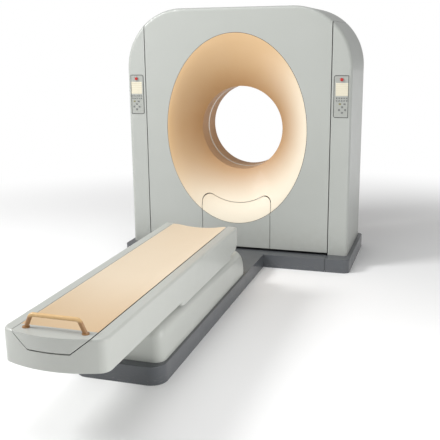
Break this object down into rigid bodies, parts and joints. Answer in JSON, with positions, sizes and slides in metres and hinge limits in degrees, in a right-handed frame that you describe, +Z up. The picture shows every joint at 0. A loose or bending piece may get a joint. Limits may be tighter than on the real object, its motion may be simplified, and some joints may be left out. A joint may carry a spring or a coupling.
{
  "type": "ct scanner",
  "caption": "Tilting ring-shaped scanner gantry with a flared bore and turning X-ray rotor, on a dark plinth, with a lifting patient couch and sliding cradle.",
  "frame": {"origin": "on the floor straight below the isocentre, the point on the bore's axis that the rotor turns about", "axes": "+Z up, +Y along the couch into the bore, +X to the right of someone at the couch's foot end who faces the gantry"},
  "size_m": [1.95, 3.8348, 2.085],
  "materials": {
    "housing": "light warm grey, satin painted moulding",
    "trim": "beige moulding, satin",
    "plinth": "dark grey paint, satin",
    "couch_shell": "light grey moulding, satin",
    "panel": "grey membrane overlay",
    "display": "pale backlit display window",
    "stop_red": "red button",
    "handle": "tan powder coat",
    "window": "translucent film",
    "steel": "grey machine paint",
    "machined": "machined steel",
    "cast": "cast aluminium",
    "black_rubber": "toothed belt",
    "copper": "slip ring tracks"
  },
  "bodies": {
    "base": {"gantry_base": "steel", "plinth_front": "plinth", "plinth_left": "plinth", "plinth_right": "plinth", "plinth_rear": "plinth", "tower_frame_left": "steel", "tower_frame_right": "steel", "tower_cover_left": "housing", "tower_cover_right": "housing", "tilt_bearing_left": "machined", "tilt_bearing_right": "machined", "tilt_gearmotor": "steel", "control_panel_left": "panel", "control_panel_right": "panel", "display_left": "display", "display_right": "display", "stop_switches": "panel", "couch_base": "steel", "couch_plinth": "plinth", "plinth_link": "plinth", "pedestal_cover": "couch_shell", "lift_gearmotor": "steel"},
    "stop_left": {"stop_button_left": "stop_red"},
    "stop_right": {"stop_button_right": "stop_red"},
    "tilting_gantry": {"stator_frame": "steel", "bearing_outer_race": "machined", "front_cover": "housing", "access_panel": "housing", "rear_cover": "housing", "front_flare": "trim", "flare_insert": "trim", "rear_flare": "trim", "bore_tunnel": "trim", "scan_window": "window", "drive_motor": "steel", "drive_belt": "black_rubber"},
    "motor_pulley": {"motor_pulley": "machined"},
    "rotor": {"rotor_drum": "cast", "bearing_inner_race": "machined", "bearing_balls": "machined", "slip_ring": "copper", "xray_tube": "cast", "collimator": "cast", "hv_generator": "cast", "counterweight": "steel", "detector_array": "cast"},
    "arm_front": {"lift_arm_front": "steel"},
    "arm_rear": {"lift_arm_rear": "steel"},
    "couch": {"couch_frame": "steel", "couch_cover": "couch_shell", "couch_skirt": "couch_shell", "cradle_rails": "machined", "cradle_motor": "steel", "cradle_belt": "black_rubber"},
    "drive_pulley": {"cradle_drive_pulley": "machined"},
    "idler_pulley": {"cradle_idler_pulley": "machined"},
    "cradle": {"cradle": "trim", "cradle_carriages": "machined", "cradle_end_block": "couch_shell", "pull_handle": "handle"}
  },
  "joints": [
    {"name": "gantry_tilt", "type": "hinge", "parent": "base", "child": "tilting_gantry", "pos_m": [0, 0, 1.108], "axis": [1, 0, 0], "range_deg": [-30, 30]},
    {"name": "rotor_spin", "type": "hinge", "parent": "tilting_gantry", "child": "rotor", "pos_m": [0, 0, 1.108], "axis": [0, 1, 0], "continuous": true},
    {"name": "motor_pulley_spin", "type": "hinge", "parent": "tilting_gantry", "child": "motor_pulley", "pos_m": [0.6, 0, 0.468], "axis": [0, 1, 0], "continuous": true},
    {"name": "stop_left_press", "type": "slide", "parent": "base", "child": "stop_left", "axis": [0, 1, 0], "range_m": [0, 0.004], "stiffness_N_per_m": 900, "springref_m": -0.004},
    {"name": "stop_right_press", "type": "slide", "parent": "base", "child": "stop_right", "axis": [0, 1, 0], "range_m": [0, 0.004], "stiffness_N_per_m": 900, "springref_m": -0.004},
    {"name": "table_lift", "type": "hinge", "parent": "base", "child": "arm_front", "pos_m": [0, -1.35, 0.15], "axis": [-1, 0, 0], "range_deg": [0, 57.3]},
    {"name": "rear_arm_swing", "type": "hinge", "parent": "base", "child": "arm_rear", "pos_m": [0, -1.75, 0.15], "axis": [-1, 0, 0], "range_deg": [0, 57.3]},
    {"name": "table_level", "type": "hinge", "parent": "arm_front", "child": "couch", "pos_m": [0, -1.93089, 0.30023], "axis": [-1, 0, 0], "range_deg": [-57.3, 0]},
    {"name": "cradle_slide", "type": "slide", "parent": "couch", "child": "cradle", "axis": [0, 1, 0], "range_m": [0, 0.9]},
    {"name": "drive_pulley_spin", "type": "hinge", "parent": "couch", "child": "drive_pulley", "pos_m": [0, -1.4, 0.412], "axis": [-1, 0, 0], "range_deg": [0, 2063]},
    {"name": "idler_pulley_spin", "type": "hinge", "parent": "couch", "child": "idler_pulley", "pos_m": [0, -2.98, 0.412], "axis": [-1, 0, 0], "range_deg": [0, 2063]}
  ],
  "couplings": [
    {"joint": "motor_pulley_spin", "follows": "rotor_spin", "ratio": 15.333},
    {"joint": "rear_arm_swing", "follows": "table_lift", "ratio": 1},
    {"joint": "table_level", "follows": "table_lift", "ratio": -1},
    {"joint": "drive_pulley_spin", "follows": "cradle_slide", "rad_per_m": 40},
    {"joint": "idler_pulley_spin", "follows": "cradle_slide", "rad_per_m": 40}
  ]
}
